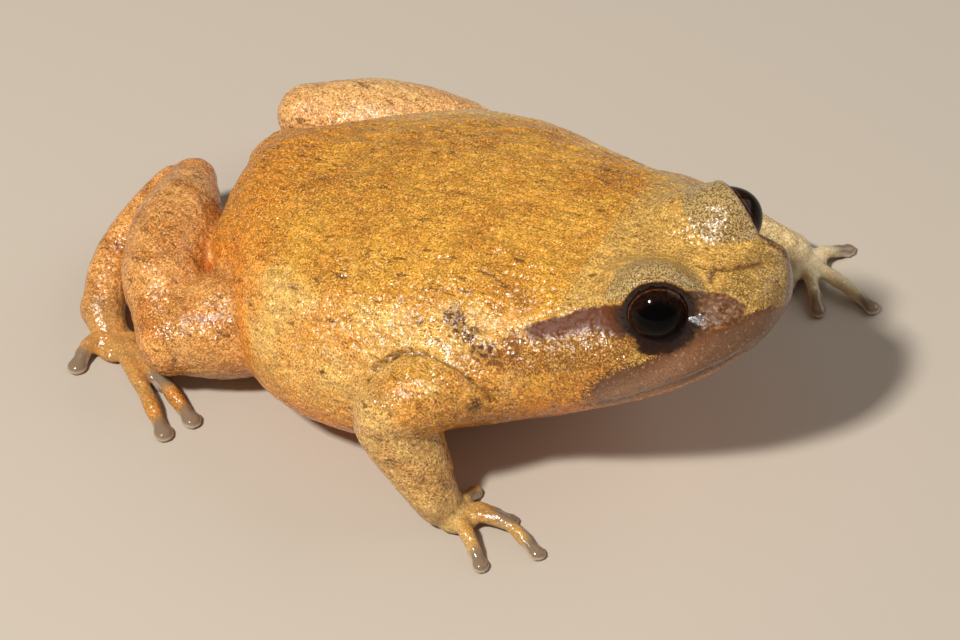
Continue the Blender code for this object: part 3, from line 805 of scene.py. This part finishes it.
def skin_material(mottle, granules):
    made, tree, shader = new_material("moist frog skin")
    place = millimetres(tree)
    shrunk = {"Vector": place, "Scale": (MARK_LENGTH, 1.0, 1.0)}
    lengthwise = put(tree, "ShaderNodeMapping", shrunk).outputs[0]

    def patches(per_mm, threshold, softness, detail=2.0, where=place):
        values = {"Place": where, "Per mm": per_mm, "Threshold": threshold, "Softness": softness}
        return placed_group(tree, mottle, {"Detail": detail, **values})["Mask"]

    ragged = math_node(tree, "SUBTRACT", noise(tree, place, 0.42, 3.0, 0.6), 0.5)

    def edged(name, roughness, softness=0.2):
        """A painted area, its edge broken up by noise."""
        rough = math_node(tree, "ADD", painted(tree, name), product(tree, ragged, roughness))
        return ramp(tree, rough, 0.5 - softness, 0.5 + softness)

    def laid(colour, factor, over):
        return blended(tree, factor, colour, over)

    values = {"Place": place, "Per mm": GRANULES, "Grain per mm": GRAIN, "Grain": 0.5}
    skin = placed_group(tree, granules, values)
    grain, dome = skin["Grain"], skin["Dome"]
    free = math_node(tree, "SUBTRACT", 1.0, painted(tree, "tip"))

    # The back, flanks and underside
    wide = patches(CLOUDS, 0.52, 0.14, 3.0)
    colour = blended(tree, math_node(tree, "MAXIMUM", wide, painted(tree, "rump")), OCHRE, OCHRE_DARK)
    flank = blended(tree, wide, FLANK, FLANK_ORANGE)
    # The flank colour is partly the sides' own paler colour and partly painted light and shade: it is held
    # back where the skin turns down, as painted shade on the lower flanks, and laid on the arms at half
    # strength as painted light.
    colour = laid(colour, edged("flank", 0.8), flank)
    colour = laid(colour, edged("crown", 0.8), CROWN)
    colour = laid(colour, edged("snout", 0.8), SNOUT)
    colour = laid(colour, painted(tree, "underside"), UNDERSIDE)

    # Limbs
    colour = laid(colour, painted(tree, "leg"), LEG)
    # Painted light: a pale colour on the top of the left shank in place of its glints, and on the right
    # forearm and the left hand to light them up.
    colour = laid(colour, product(tree, painted(tree, "pale"), 0.92), PALE)
    marks = patches(LEG_MARKS, 0.52, 0.12, 4.0, lengthwise)
    colour = laid(colour, product(tree, marks, painted(tree, "marked"), 0.72), LEG_BROWN)
    colour = laid(colour, painted(tree, "orange"), EDGE_ORANGE)

    # Fine marks: the grain's own tone, streaks, painted shade in the gaps between the granules with painted
    # light on their tops, dark dots between the granules, specks and pale flecks
    streaks = noise(tree, lengthwise, 0.45, 3.0, 0.65)
    tone = product(
        tree,
        ramp(tree, grain, 0.28, 0.72, 0.62, 1.28),
        ramp(tree, streaks, 0.32, 0.68, 0.80, 1.16),
        ramp(tree, dome, 0.05, 0.7, 0.84, 1.06),
    )
    grey = put(tree, "ShaderNodeCombineColor", {0: tone, 1: tone, 2: tone}).outputs[0]
    colour = blended(tree, 1.0, colour, grey, "MULTIPLY")
    dots = product(tree, ramp(tree, grain, 0.42, 0.34), patches(DOT_CLUSTERS, 0.48, 0.12), free)
    colour = laid(colour, product(tree, dots, 0.55), SPECK)
    specks = product(tree, patches(SPECKS, 0.66, 0.03, 2.0, lengthwise), free)
    colour = laid(colour, product(tree, specks, 0.7), SPECK)
    flecks = product(tree, ramp(tree, grain, 0.60, 0.70), free)
    colour = laid(colour, product(tree, flecks, 0.45), FLECK)
    between_dots = ramp(tree, patches(SPOT_DOTS, 0.5, 0.06), 0.0, 1.0, 0.45, 1.0)
    colour = laid(colour, product(tree, edged("spot", 1.6, 0.3), between_dots), SPECK)

    colour = laid(colour, painted(tree, "digit"), DIGIT)
    colour = laid(colour, painted(tree, "grey digit"), DIGIT_GREY)

    # The head's markings
    dusky = product(tree, edged("cheek", 1.0), ramp(tree, grain, 0.62, 0.36, 0.40, 1.0))
    colour = laid(colour, dusky, CHEEK)
    dusty = ramp(tree, grain, 0.56, 0.42)
    colour = laid(colour, edged("lid", 0.5), blended(tree, product(tree, dusty, 0.8), LID_GREY, SPECK))
    # A golden band above the stripe behind the eye: partly a pale band of skin, partly a painted highlight
    # of the wet rim there.
    colour = laid(colour, product(tree, edged("gold", 1.0), ramp(tree, grain, 0.35, 0.55, 0.2, 0.9)), GOLD)
    lip = blended(tree, painted(tree, "grey lip"), LIP, LIP_GREY)
    lip = laid(lip, product(tree, ramp(tree, grain, 0.50, 0.36), 0.5), LORES)
    lip = laid(lip, product(tree, patches(LIP_FLECKS, 0.64, 0.05), 0.5), LIP_PALE)
    on_lip = painted(tree, "lip")
    at_edge = product(tree, on_lip, math_node(tree, "SUBTRACT", 1.0, on_lip), 4.0)
    sifted = math_node(tree, "ADD", ramp(tree, grain, 0.35, 0.65, 0.4, -0.4), product(tree, ragged, 1.5))
    on_lip = math_node(tree, "ADD", on_lip, product(tree, sifted, at_edge))
    colour = laid(colour, ramp(tree, on_lip, 0.2, 0.8), lip)
    lores = blended(tree, product(tree, patches(LORES_FLECKS, 0.56, 0.10), 0.6), LORES, LORES_GOLD)
    stripe = blended(tree, product(tree, patches(STRIPE_CLOUDS, 0.52, 0.2), 0.5), STRIPE_BROWN, SPECK)
    stripe = blended(tree, painted(tree, "lores"), stripe, lores)
    stripe = blended(tree, painted(tree, "round the eye"), stripe, STRIPE)
    colour = laid(colour, edged("stripe", 0.9, 0.3), stripe)
    # Painted shade: dark lines in the snout crease and the fold over the right arm, and faintly along the
    # mouth line.
    colour = laid(colour, product(tree, painted(tree, "crease_shade"), 0.9), SPECK)

    # The discs are grey, with a painted rim light on their sides
    colour = laid(colour, painted(tree, "tip"), DIGIT_TIP)
    colour = laid(colour, painted(tree, "tip rim light"), TIP_RIM_LIGHT)

    wet = math_node(tree, "MAXIMUM", patches(WET_PATCHES, 0.50, 0.12, 3.0), painted(tree, "wet"))
    finish = ramp(tree, wet, 0.0, 1.0, 0.30, 0.13)
    finish = math_node(tree, "MAXIMUM", finish, ramp(tree, painted(tree, "dry"), 0.0, 1.0, 0.0, 0.58))
    height = product(tree, skin["Height"], ramp(tree, painted(tree, "relief"), 0.0, 1.0, 0.15, 1.0))
    bump = put(tree, "ShaderNodeBump", {"Strength": 1.0, "Distance": BUMP_DEPTH, "Height": height})
    values = {
        "Base Color": colour,
        "Roughness": finish,
        "Normal": bump.outputs[0],
        "Subsurface Weight": 0.3,
        "Subsurface Radius": (1.0, 0.35, 0.1),
        "Subsurface Scale": 0.0007,
        "Specular IOR Level": 0.5,
    }
    fill(tree, shader, values)
    return made


def eye_material(mottle):
    made, tree, shader = new_material("wet dark eye")
    angle = painted(tree, "angle")
    values = {"Place": millimetres(tree), "Per mm": IRIS_FLECKS, "Threshold": 0.5, "Softness": 0.15}
    flecks = placed_group(tree, mottle, values)["Mask"]
    iris = blended(tree, product(tree, flecks, 0.5), IRIS, IRIS_FLECK)
    ring = blended(tree, product(tree, flecks, 0.6), RING, RING_FLECK)
    colour = blended(tree, ramp(tree, angle, *PUPIL_EDGE), PUPIL, iris)
    colour = blended(tree, ramp(tree, angle, *RING_START), colour, ring)
    colour = blended(tree, ramp(tree, angle, *RING_END), colour, EYE_EDGE)
    values = {
        "Base Color": colour,
        "Roughness": ramp(tree, flecks, 0.0, 1.0, 0.05, 0.09),
        "Specular IOR Level": 0.06,
        "Coat Weight": 0.05,
        "Coat Roughness": 0.01,
    }
    fill(tree, shader, values)
    return made


# The skin


def lid_centres():
    """The centres of the right and left lids' masses."""
    back, aside, up = LID_SET_BACK
    return [(x + back, y + side * aside, z + up) for side, (x, y, z) in zip((-1, 1), EYE_CENTRES)]


def body_form():
    """The trunk with its brows, lids, shoulders and hips run into it."""
    pieces = [trunk()]
    for centre, radii in MASSES:
        pieces.append(ball("mass", centre, radii))
    for place in lid_centres():
        pieces.append(ball("lid", place, LID_RADII))
    body = fused(joined("body", pieces), BODY_VOXEL)
    return softened(body, BODY_SMOOTHING)


def digit_lines(paws, disc_height):
    """Fingers or toes as lines: from inside the palm, up over the knuckle and down to the tip."""
    curve = bpy.data.curves.new("digits", "CURVE")
    curve.dimensions = "3D"
    for _, (palm, tips) in paws:
        for tip_x, tip_y, bow in tips:
            root = Vector((palm[0], palm[1], 0.7))
            tip = Vector((tip_x, tip_y, disc_height - SUNK))
            sideways = (tip - root).cross(Vector((0, 0, 1))) * -bow
            middle = (root + tip) / 2 + sideways + Vector((0, 0, 0.25))
            points = smooth_rows([tuple(root), tuple(middle), tuple(tip)], 16)
            spline = curve.splines.new("POLY")
            spline.points.add(len(points) - 1)
            for point, (x, y, z) in zip(spline.points, points):
                point.co = ((x + ORIGIN_BACK) * MM, y * MM, z * MM, 1.0)
    return linked("digits", curve)


def paw_pads():
    """Each hand's and foot's flat oval palm and the stem that joins it to its limb."""
    pieces = []
    for wrist, (palm, _) in PAWS:
        x, y, half_length, half_width = palm
        turn = Matrix.Rotation(math.atan2(y - wrist[1], x - wrist[0]), 4, "Z")
        pieces.append(ball("palm", (x, y, PALM_HEIGHT - SUNK), (half_length, half_width, PALM_HEIGHT), turn))
        pieces.append(limb([wrist, (x, y, PALM_HEIGHT, half_width * 0.7, PALM_HEIGHT * 0.7)], 6))
    return pieces


def points_of(mesh):
    """The mesh's points, in the tables' millimetres."""
    flat = np.empty(len(mesh.vertices) * 3)
    mesh.vertices.foreach_get("co", flat)
    points = flat.reshape(-1, 3) / MM
    points[:, 0] -= ORIGIN_BACK
    return points


def normals_of(mesh):
    flat = np.empty(len(mesh.vertices) * 3)
    mesh.vertex_normals.foreach_get("vector", flat)
    return flat.reshape(-1, 3)


def set_points(mesh, points):
    placed = points.copy()
    placed[:, 0] += ORIGIN_BACK
    mesh.vertices.foreach_set("co", (placed * MM).ravel())
    mesh.update()


def store(mesh, name, values):
    attribute = mesh.attributes.new(name, "FLOAT", "POINT")
    attribute.data.foreach_set("value", np.asarray(values, dtype=np.float32))


def eased(low, high, value):
    t = np.clip((value - low) / (high - low), 0.0, 1.0)
    return t * t * (3 - 2 * t)


def hill(value, centre, width):
    return np.exp(-(((value - centre) / width) ** 2))


def line_at(table, x):
    """A drawn line's second number at each x."""
    rows = sorted(table)
    return np.interp(x, [r[0] for r in rows], [r[1] for r in rows])


def far_from(points, place):
    return np.linalg.norm(points - np.array(place), axis=1)


def far_from_line(points, line):
    """Each point's distance from one place, or from a line through several."""
    best = far_from(points, line[0])
    for start, end in zip(line, line[1:]):
        start, end = np.array(start), np.array(end)
        along = end - start
        share = np.clip((points - start) @ along / (along @ along), 0.0, 1.0)
        best = np.minimum(best, np.linalg.norm(points - start - share[:, None] * along, axis=1))
    return best


def on_skin(points, line):
    """A line through the given places, brought on to the nearest points of the skin."""
    nearest = [int(np.argmin(far_from(points, place))) for place in smooth_rows(line, 8 * len(line))]
    return [points[i] for i in dict.fromkeys(nearest)]


def out_of_limb(points, rows):
    """How far each point lies outside a limb's surface, negative inside."""
    rows = np.array(smooth_rows(rows, LIMB_RINGS))
    best = np.full(len(points), 1e9)
    for start, end in zip(rows, rows[1:]):
        along = end[:3] - start[:3]
        share = np.clip((points - start[:3]) @ along / (along @ along), 0.0, 1.0)
        centre = start[:3] + share[:, None] * along
        radius = start[3] + share * (end[3] - start[3])
        best = np.minimum(best, np.linalg.norm(points - centre, axis=1) - radius)
    return best


def from_eye(points):
    """Each point's offset from its own side's eye, its distance, and its angle off the eye's axis."""
    on_right = points[:, 1:2] < 0
    off = points - np.where(on_right, *np.array(EYE_CENTRES))
    axis = np.array(EYE_AXIS) / np.linalg.norm(EYE_AXIS)
    axes = np.where(on_right, axis * (1, -1, 1), axis)
    far = np.linalg.norm(off, axis=1)
    cosine = (off * axes).sum(axis=1) / np.maximum(far, 1e-6)
    return off, far, np.degrees(np.arccos(np.clip(cosine, -1.0, 1.0)))


def folded(points):
    """Both sides laid over the left one."""
    return np.stack([points[:, 0], np.abs(points[:, 1]), points[:, 2]], axis=1)


def height_angle(points):
    """Degrees above level, seen from the trunk's middle line at the same x."""
    middle = line_at([(row[0], row[1]) for row in TRUNK], points[:, 0])
    return np.degrees(np.arctan2(points[:, 2] - middle, np.abs(points[:, 1])))


def opened_lids(points):
    """The skin near each eye set round the ball: a thin standing edge at the opening, and a dome behind."""
    off, far, angle = from_eye(points)
    past = angle - OPENING
    inside = EYE_RADIUS - LID_TUCK
    edge = EYE_RADIUS + LID_STAND
    stand = np.maximum(far, edge)
    for height, peak, width in LID_FOLDS:
        stand += height * hill(past, peak, width)
    stand = edge + (stand - edge) * eased(0.0, LID_DOME, past)
    reach = inside + (stand - inside) * eased(-LID_EDGE, LID_EDGE, past)
    blend = (1.0 - eased(*LID_REACH, far)) * (1.0 - eased(*LID_END, past))
    goal = far + (reach - far) * blend
    return points + off * (goal / far - 1.0)[:, None]


def evened(mesh):
    """Splits the faces that the opened lids have stretched."""
    shape = bmesh.new()
    shape.from_mesh(mesh)
    stretched = [edge for edge in shape.edges if edge.calc_length() > LONGEST_EDGE * MM]
    bmesh.ops.subdivide_edges(shape, edges=stretched, cuts=2)
    bmesh.ops.triangulate(shape, faces=[face for face in shape.faces if len(face.verts) > 4])
    shape.to_mesh(mesh)
    shape.free()


def sculpt(mesh):
    """Forms the lips, nostrils, soft swellings and creases, then opens the lids round each eye."""
    real = points_of(mesh)
    points = folded(real)
    above = (points[:, 2] - line_at(MOUTH, points[:, 0])) * math.cos(math.radians(JAW_SLOPE))
    lips = eased(MOUTH_CORNER - 0.8, MOUTH_CORNER + 1.0, points[:, 0])
    raised = np.zeros(len(points))
    for height, peak, width in LIP_FORMS:
        raised += height * hill(above, peak, width) * lips
    for height, peak, width, line in HEAD_FORMS:
        raised += height * hill(far_from_line(points, line), peak, width)
    for height, peak, width, line in CREASES:
        raised += height * hill(far_from_line(real, on_skin(real, line)), peak, width)
    set_points(mesh, opened_lids(real + normals_of(mesh) * raised[:, None]))
    evened(mesh)


def near_paws(points, up):
    """Masks over the palms, over the digits' ends, and over the discs' sides, where a rim light is painted.
    """
    palm = np.zeros(len(points))
    tip = np.zeros(len(points))
    low = 1.0 - eased(*PAW_TOP, points[:, 2])
    for _, ((palm_x, palm_y, _, _), tips) in PAWS:
        from_palm = np.hypot(points[:, 0] - palm_x, points[:, 1] - palm_y)
        palm = np.maximum(palm, (1.0 - eased(*PALM_FADE, from_palm)) * low)
        for tip_x, tip_y, _ in tips:
            from_tip = np.hypot(points[:, 0] - tip_x, points[:, 1] - tip_y)
            tip = np.maximum(tip, (1.0 - eased(*TIP_FADE, from_tip)) * low)
    middle, radius = BODY_ON_FLOOR
    clear = eased(radius, radius + 1.1, np.hypot(points[:, 0] - middle, points[:, 1] * 1.1))
    return palm * clear, tip * clear, tip * clear * eased(0.55, 0.15, np.abs(up))


def on_limb(distance):
    """1 on a limb and fading out beside it, from each point's distance out of it."""
    return 1.0 - eased(*LIMB_FADE, distance)


def paint_head(mesh, real, trunk_only):
    """The stripe, lids, cheeks, lips and crown. Gives back the masks that the rest of the skin needs.

    A pair of bare numbers is where a mask starts and ends, in millimetres for x and z, and in degrees
    for rise and angle.
    """
    points = folded(real)
    x, _, z = points.T
    off, far, angle = from_eye(real)
    up = normals_of(mesh)[:, 2]
    rise = height_angle(points)
    left = eased(0.0, 1.0, real[:, 1])
    on_left = left * np.maximum(eased(10.5, 9.5, x), eased(12.3, 12.9, x))
    top = line_at(STRIPE_TOP, x) - LEFT_STRIPE_LOWER * on_left
    foot = line_at(STRIPE_FOOT, x) - LEFT_STRIPE_LOWER * on_left
    mouth = line_at(MOUTH, x)
    head = eased(5.0, 8.0, x)
    on_dome = 1.0 - eased(*LID_SKIN, far)
    rim = OPENING + 2.5 + 3.5 * eased(-0.8, 0.3, off[:, 2])
    margin = 1.0 - eased(rim - 3.0, rim + 3.0, angle)
    front = hill(far_from(points, EYE_FRONT), 0.0, 0.6)

    stripe = eased(top + 2.0, top - 2.0, rise) * eased(foot - 9.0, foot + 4.0, rise)
    stripe *= eased(4.2, 6.0, x) * eased(15.8, 15.2, x) * (1.0 - 0.5 * left * eased(10.5, 9.5, x))
    below_top = eased(top + 3.0, top - 3.0, rise)
    socket = (1.0 - eased(*SOCKET, far)) * below_top
    dark = np.maximum(socket, margin * on_dome)
    store(mesh, "stripe", np.maximum(stripe, dark) * trunk_only)
    store(mesh, "round the eye", np.maximum(dark, hill(np.maximum(far - 1.9, 0.0), 0.0, 0.35) * below_top))
    store(mesh, "lores", eased(12.4, 13.2, x))
    dome = on_dome * eased(top - 1.0, top + 4.0, rise) * (1.0 - margin)
    store(mesh, "lid", dome * trunk_only)
    # The golden band above the stripe: partly pale skin, partly a painted highlight.
    pale_band_and_sheen = hill(rise, top + 4.5, 2.5) * eased(6.0, 8.0, x) * (1.0 - eased(9.5, 10.5, x))
    store(mesh, "gold", 0.45 * pale_band_and_sheen * (1.0 - stripe) * trunk_only)
    cheek = eased(foot + 2.0, foot - 1.0, rise) * eased(5.0, 16.0, rise) * eased(2.0, 6.5, x)
    cheek *= 1.0 - eased(10.5, 11.5, x)
    store(mesh, "cheek", 0.95 * cheek * trunk_only)
    lip_top = line_at(LIP_TOP, x)
    lip = eased(lip_top + 4.0, lip_top - 4.0, rise) * eased(-0.7, -0.3, z - mouth) * eased(7.9, 10.0, x)
    store(mesh, "lip", lip)
    store(mesh, "grey lip", eased(lip_top, lip_top - 16.0, rise) * (1.0 - 0.6 * eased(12.0, 14.5, x)))
    store(mesh, "crown", head * eased(0.1, 0.6, up))
    store(mesh, "snout", eased(12.4, 15.2, x) * eased(top - 4.0, top + 4.0, rise))
    behind_stripe = hill(far_from(points, EAR_DRUM), 0.0, 0.9)
    ridge = hill(far_from_line(points, LIP_RIDGE), 0.0, 0.35)
    wet = np.maximum.reduce([0.4 * on_dome * margin, 0.8 * dome, behind_stripe, ridge, 0.3 * lip])
    store(mesh, "dry", np.maximum(stripe * (1.0 - wet) * (1.0 - dark), front))
    return head, 0.6 * on_dome * margin, lip, wet


def paint(mesh):
    """Stores where each marking, finish and texture lies, as numbers on the skin's points."""
    real = points_of(mesh)
    points = folded(real)
    x, _, z = points.T
    up = normals_of(mesh)[:, 2]
    out_of_leg = np.min([out_of_limb(real, rows) for rows in LEGS], axis=0)
    arm = on_limb(np.min([out_of_limb(real, rows) for rows in ARMS], axis=0))
    leg = on_limb(out_of_leg)
    trunk_only = (1.0 - arm) * (1.0 - leg)
    palm, tip, tip_rim_light = near_paws(real, up)
    head, eyelids, lip, wet_head = paint_head(mesh, real, trunk_only)

    rump = eased(-9.5, -13.5, x) * trunk_only
    # The sides take the flank colour, which fades out where the skin turns down, as painted shade; the arms
    # take it at half strength, partly their own colour and partly painted light.
    side = eased(0.98, 0.76, up) * (1.0 - head) * (1.0 - leg) * (1.0 - 0.45 * eased(0.6, 0.2, up))
    store(mesh, "rump", rump)
    store(mesh, "flank", np.maximum(side, 0.5 * arm) * (1.0 - rump))
    store(mesh, "underside", eased(0.35, -0.5, up) * (1.0 - tip) * (1.0 - 0.6 * arm) * (1.0 - 0.7 * palm))
    store(mesh, "leg", leg)
    # The pale mask is painted light: the up-turned top of the left shank, a little of the right forearm, and
    # the left hand.
    left_shank = on_limb(out_of_limb(real, SHANK_LEFT))
    forearm = on_limb(out_of_limb(real, FOREARM_RIGHT))
    left_hand = np.maximum(palm, arm) * eased(7.0, 9.0, x)
    pale = np.maximum.reduce([left_shank * eased(-0.2, 0.5, up), 0.3 * forearm, left_hand])
    store(mesh, "pale", pale * (1.0 - tip))
    marked = leg * (1.0 - 0.7 * left_shank) + 0.4 * (palm + arm) * (1.0 - left_hand)
    store(mesh, "marked", np.clip(marked, 0.0, 1.0))
    groin = hill(out_of_leg, 0.5, 0.8) * (1.0 - eased(-4.0, -2.0, x))
    store(mesh, "orange", np.clip(0.65 * groin + 0.2 * rump, 0.0, 0.7))
    store(mesh, "digit", palm * 0.45 * (1.0 - left_hand))
    store(mesh, "grey digit", palm * 0.7 * left_hand)
    store(mesh, "tip", tip)
    # The discs' sides get a painted rim light.
    store(mesh, "tip rim light", tip_rim_light * 0.8)
    spot = np.zeros(len(points))
    for *centre, radius, strength in SPOTS:
        spot = np.maximum(spot, strength * hill(far_from(real, centre), 0.0, radius))
    store(mesh, "spot", spot)
    # Painted shade along the creases: the snout crease, the fold over the right arm and, faintly, the mouth
    # line.
    fold = far_from_line(real, on_skin(real, ARM_FOLD))
    snout = far_from_line(real, on_skin(real, SNOUT_CREASE))
    mouth_line = hill(z - line_at(MOUTH, x), 0.0, 0.14) * eased(MOUTH_CORNER - 0.5, MOUTH_CORNER + 1.0, x)
    marks = [hill(snout, 0.0, 0.17), 0.8 * hill(fold, 0.0, 0.14), 0.06 * mouth_line]
    store(mesh, "crease_shade", np.maximum.reduce(marks))
    calm = np.maximum.reduce([tip, palm * 0.4, eyelids, lip * 0.6])
    store(mesh, "relief", (1.0 - calm) * eased(0.02, 0.5, z))
    store(mesh, "wet", np.maximum.reduce([tip, wet_head, 0.7 * palm]))
    store(mesh, "lined", eased(0.2, 0.7, up) * (1.0 - head) * trunk_only)


def skin(material):
    """One closed skin over body, limbs, hands and feet."""
    body = body_form()
    digits = digit_tree()
    pieces = [body, *paw_pads(), *(limb(rows) for rows in ARMS + LEGS)]
    for paws, (radius, disc) in ((HANDS, FINGER), (FEET, TOE)):
        sizes = {
            "Radius": radius * MM,
            "Sides": DIGIT_SIDES,
            "Disc length": disc[0] * MM,
            "Disc width": disc[1] * MM,
            "Disc height": disc[2] * MM,
            "Finish": material,
        }
        pieces.append(grown(digit_lines(paws, disc[2]), digits, sizes))
    made = fused(joined("frog_skin", pieces), SKIN_VOXEL)
    x, y, z = points_of(made.data).T
    middle, radius = BODY_ON_FLOOR
    fleshy = np.maximum(eased(1.3, 2.4, z), eased(radius, radius - 1.5, np.hypot(x - middle, y)))
    group = made.vertex_groups.new(name="fleshy")
    for level in range(1, 11):
        chosen = np.where(np.ceil(fleshy * 10) == level)[0]
        group.add(chosen.tolist(), level / 10, "REPLACE")
    made = softened(made, SKIN_SMOOTHING, "fleshy")
    made.vertex_groups.clear()
    made = softened(made, 2)
    sculpt(made.data)
    paint(made.data)
    made = grown(made, relief_tree(), {"Finish": material, **in_metres(RELIEF)})
    fewer = made.modifiers.new("fewer", "DECIMATE")
    made.data.calc_loop_triangles()
    fewer.ratio = min(1.0, SKIN_TRIANGLES / len(made.data.loop_triangles))
    made = applied(made)
    points = points_of(made.data)
    points[:, 2] = np.maximum(points[:, 2], 0.0)
    set_points(made.data, points)
    made.data.shade_smooth()
    return made


def eye(name, centre, axis, material):
    """One eyeball with its raised cornea, turned to face out."""
    shape = bmesh.new()
    bmesh.ops.create_uvsphere(shape, u_segments=EYE_SIDES, v_segments=EYE_RINGS, radius=EYE_RADIUS)
    angles = []
    for v in shape.verts:
        angle = math.degrees(v.co.angle(Vector((0, 0, 1))))
        angles.append(angle)
        if angle < CORNEA_EDGE:
            v.co *= 1 + CORNEA_RISE / EYE_RADIUS * (1 - (angle / CORNEA_EDGE) ** 2) ** 2
    turn = Vector((0, 0, 1)).rotation_difference(Vector(axis)).to_matrix().to_4x4()
    bmesh.ops.transform(shape, matrix=Matrix.Translation(centre) @ turn, verts=shape.verts)
    made = mesh_object(name, shape)
    store(made.data, "angle", angles)
    made.data.materials.append(material)
    made.data.shade_smooth()
    return made


# Floor, light and camera


def floor_material():
    made, tree, shader = new_material("pale floor")
    fill(tree, shader, {"Base Color": FLOOR_COLOUR, "Roughness": 0.8})
    return made


def floor():
    shape = bmesh.new()
    bmesh.ops.create_grid(shape, x_segments=1, y_segments=1, size=FLOOR_SIZE)
    made = object_of("floor", shape)
    made.data.materials.append(floor_material())


def soft_light(name, place, aim, size, power, colour):
    lamp = bpy.data.lights.new(name, "AREA")
    lamp.size = size
    lamp.energy = power
    lamp.color = colour
    made = linked(name, lamp)
    made.location = place
    made.rotation_mode = "QUATERNION"
    made.rotation_quaternion = (Vector(aim) - Vector(place)).to_track_quat("-Z", "Y")


def view_axes():
    """The camera's own right, up and back."""
    azimuth, elevation = math.radians(CAMERA_AZIMUTH), math.radians(CAMERA_ELEVATION)
    back = Vector(
        (
            math.sin(azimuth) * math.cos(elevation),
            -math.cos(azimuth) * math.cos(elevation),
            math.sin(elevation),
        )
    )
    level = Vector((math.cos(azimuth), math.sin(azimuth), 0))
    raised = back.cross(level)
    roll = math.radians(CAMERA_ROLL)
    right = level * math.cos(roll) + raised * math.sin(roll)
    return right, back.cross(right), back


def camera():
    right, up, back = view_axes()
    place = back * CAMERA_DISTANCE - right * CAMERA_ASIDE - up * CAMERA_RAISE
    place.x += ORIGIN_BACK
    lens = bpy.data.cameras.new("camera")
    lens.sensor_width = SENSOR_WIDTH
    lens.lens = PIXELS_PER_MM * CAMERA_DISTANCE * SENSOR_WIDTH / PICTURE_WIDTH
    lens.clip_start = 0.01
    lens.clip_end = 10.0
    made = linked("camera", lens)
    made.rotation_mode = "QUATERNION"
    made.rotation_quaternion = Matrix((right, up, back)).transposed().to_quaternion()
    made.location = place * MM
    bpy.context.scene.camera = made


def studio():
    """A soft key light from the camera's upper left, a broad fill from its right and a dim pale room."""
    right, up, back = view_axes()
    middle = Vector(FROG_MIDDLE)
    for name, ((behind, aside, above), size, power, colour) in LAMPS.items():
        place = middle + back * behind + right * aside + up * above
        soft_light(name, place, middle, size, power, colour)
    world = bpy.data.worlds.new("pale room")
    world.use_nodes = True
    room = {"Color": ROOM_COLOUR, "Strength": ROOM_STRENGTH}
    fill(world.node_tree, world.node_tree.nodes["Background"], room)
    bpy.context.scene.world = world
    bpy.context.scene.view_settings.view_transform = "Standard"


# Everything put together

mottle = mottle_group()
granules = granule_group()
skin_finish = skin_material(mottle, granules)
eye_finish = eye_material(mottle)

frog_skin = skin(skin_finish)
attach(frog_skin, "root")
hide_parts(*(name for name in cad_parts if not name.startswith("eye_")))
for side, centre, axis in zip(("right", "left"), EYE_CENTRES, (mirrored(EYE_AXIS), EYE_AXIS)):
    eyeball = eye("eyeball_" + side, centre, axis, eye_finish)
    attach(eyeball, "root")
    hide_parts("eye_" + side)

floor()
studio()
camera()
